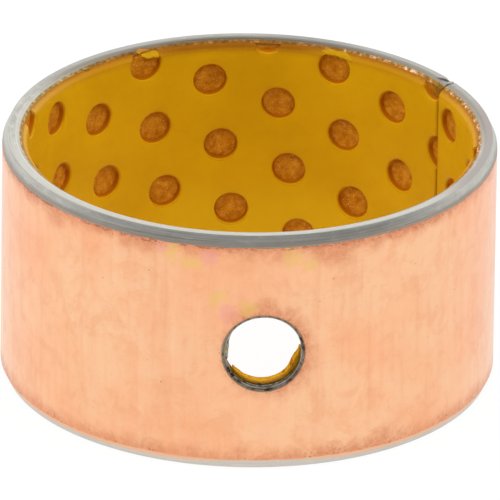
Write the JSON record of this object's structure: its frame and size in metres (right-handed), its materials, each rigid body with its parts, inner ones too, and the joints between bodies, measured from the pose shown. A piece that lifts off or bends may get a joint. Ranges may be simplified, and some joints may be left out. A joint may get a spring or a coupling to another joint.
{
  "type": "wrapped composite plain bearing bush",
  "caption": "Split cylindrical plain-bearing bush: copper-flashed steel back, sintered bronze coat, acetal lining with round grease pockets, and one radial oil hole.",
  "frame": {"origin": "axis of the bush at its lower end face", "axes": "+Z along the bush's axis, upwards; -Y through the oil hole; the butt joint lies 118.4 degrees round from the oil hole, counter-clockwise from above"},
  "size_m": [0.039, 0.039, 0.02],
  "materials": {
    "steel": "turned, satin",
    "copper": "flash copper plating, satin, faintly stained",
    "bronze": "sintered, grainy, resin soaked",
    "acetal": "smooth, slightly translucent, semi-gloss"
  },
  "bodies": {
    "root": {"steel_backing": "steel", "copper_plating": "copper", "bronze_interlayer": "bronze", "acetal_lining": "acetal"}
  },
  "joints": []
}
